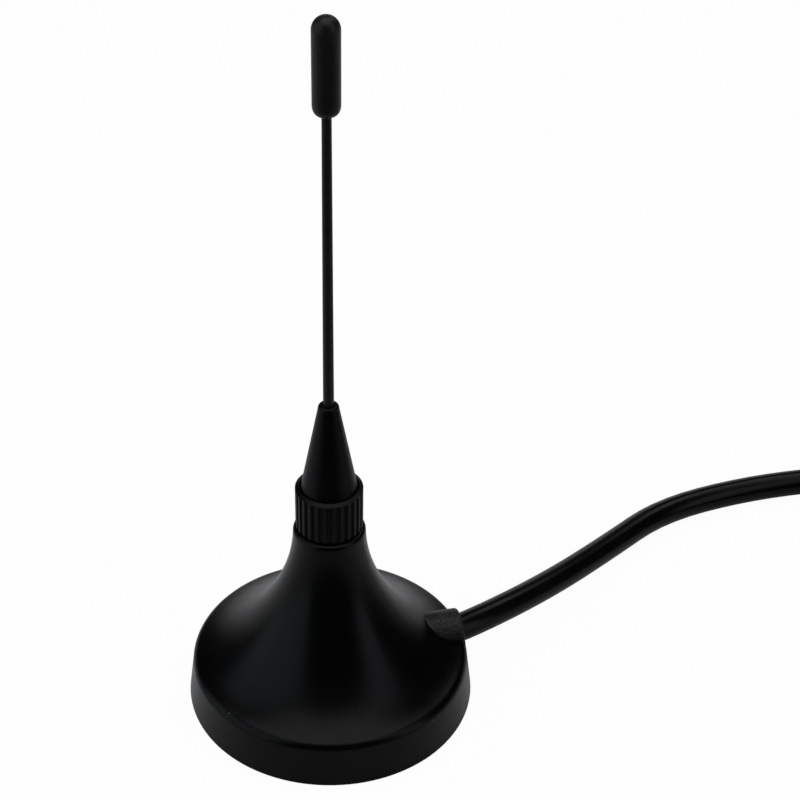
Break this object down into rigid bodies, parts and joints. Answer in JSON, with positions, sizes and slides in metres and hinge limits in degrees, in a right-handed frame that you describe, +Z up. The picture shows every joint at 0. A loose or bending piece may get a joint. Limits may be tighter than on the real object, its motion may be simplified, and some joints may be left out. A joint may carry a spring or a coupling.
{
  "type": "magnetic mount antenna",
  "caption": "Small magnetic mount antenna: flared round base with a magnet under it, screw-in whip with a ribbed grip, and a thin coaxial lead with a threaded plug.",
  "frame": {"origin": "middle of the base's underside, on the surface that it stands on", "axes": "+Z up along the whip, +X towards the side where the lead leaves the base"},
  "size_m": [0.1282, 0.0566, 0.0767],
  "materials": {
    "housing_plastic": "fine moulded grain, satin",
    "pad_vinyl": "matte",
    "magnet_nickel": "nickel plated",
    "plate_steel": "tinned",
    "insert_brass": "turned",
    "stop_metal": "nickel plated, crimped",
    "dielectric_white": "natural polyethylene",
    "bare_copper": "tinned strands",
    "solder_tin": "bright",
    "stud_brass": "turned, threaded",
    "grip_plastic": "smooth moulded, satin",
    "whip_steel": "drawn spring wire",
    "sheath_rubber": "moulded, dull",
    "lead_jacket": "smooth extruded, glossy",
    "tie_plastic": "coated wire",
    "shrink_sleeve": "shrunk sleeve",
    "plug_gold": "gold plated",
    "ring_bronze": "spring bronze",
    "gasket_rubber": "silicone",
    "insulator_white": "natural"
  },
  "bodies": {
    "base": {"base_housing": "housing_plastic", "foot_pad": "pad_vinyl", "magnet": "magnet_nickel", "ground_plate": "plate_steel", "thread_insert": "insert_brass", "cable_stop": "stop_metal", "cable_dielectric": "dielectric_white", "plug_dielectric": "dielectric_white", "centre_conductor": "bare_copper", "cable_braid": "bare_copper", "solder_joints": "solder_tin", "antenna_cable": "lead_jacket", "cable_coil": "lead_jacket", "cable_tail": "lead_jacket", "cable_tie": "tie_plastic", "heat_shrink": "shrink_sleeve", "crimp_ferrule": "plug_gold", "connector_body": "plug_gold", "centre_pin": "plug_gold", "retaining_ring": "ring_bronze", "plug_gasket": "gasket_rubber", "plug_insulator": "insulator_white"},
    "whip_screw": {"threaded_stud": "stud_brass"},
    "whip": {"whip_grip": "grip_plastic", "whip_sheath": "sheath_rubber", "whip_wire": "whip_steel"},
    "plug_nut": {"coupling_nut": "plug_gold"}
  },
  "joints": [
    {"name": "whip_rise", "type": "slide", "parent": "base", "child": "whip_screw", "axis": [0, 0, 1], "range_m": [0, 0.0049]},
    {"name": "whip_turn", "type": "hinge", "parent": "whip_screw", "child": "whip", "pos_m": [0, 0, 0.02175], "axis": [0, 0, 1], "range_deg": [0, 2520]},
    {"name": "nut_spin", "type": "hinge", "parent": "base", "child": "plug_nut", "pos_m": [0.10923, -0.0172, 0.00467], "axis": [0, -1, 0], "continuous": true}
  ],
  "couplings": [
    {"joint": "whip_turn", "follows": "whip_rise", "rad_per_m": 8976}
  ]
}
